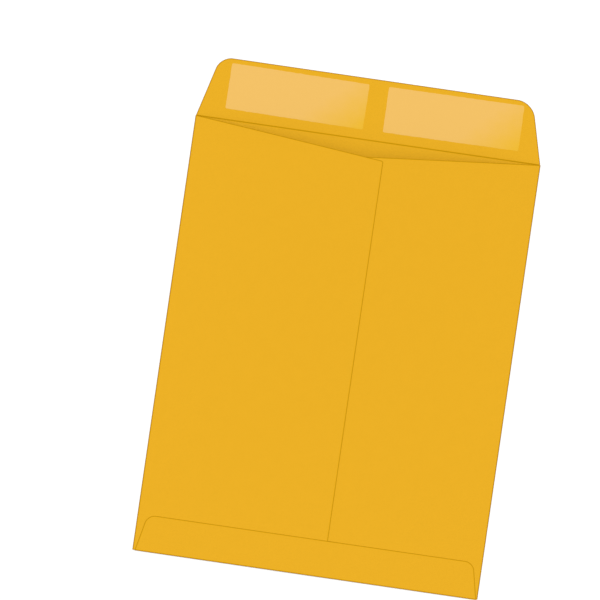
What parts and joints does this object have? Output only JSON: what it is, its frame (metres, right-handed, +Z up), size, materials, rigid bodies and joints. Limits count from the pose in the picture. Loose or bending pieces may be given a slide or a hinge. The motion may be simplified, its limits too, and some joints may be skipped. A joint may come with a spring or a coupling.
{
  "type": "paper envelope",
  "caption": "Open-end kraft paper envelope with a lapped back seam, glued bottom flap, V throat and an open, gummed seal flap.",
  "frame": {"origin": "middle of the envelope's full length and width, in the plane of the front panel's outer face", "axes": "+Y towards the open seal flap, +X to the right seen from above with the back side up, +Z up out of the back"},
  "size_m": [0.2922, 0.4198, 0.0103],
  "materials": {
    "kraft_paper": "matte, golden brown kraft with a faint sheen",
    "seal_gum": "dried remoistenable gum, a thin semi-gloss film over the paper",
    "dried_glue": "dried white glue, hidden between the paper layers"
  },
  "bodies": {
    "root": {"envelope_sheet": "kraft_paper", "seam_glue": "dried_glue", "bottom_flap_glue": "dried_glue", "seal_gum_left": "seal_gum", "seal_gum_right": "seal_gum"}
  },
  "joints": []
}
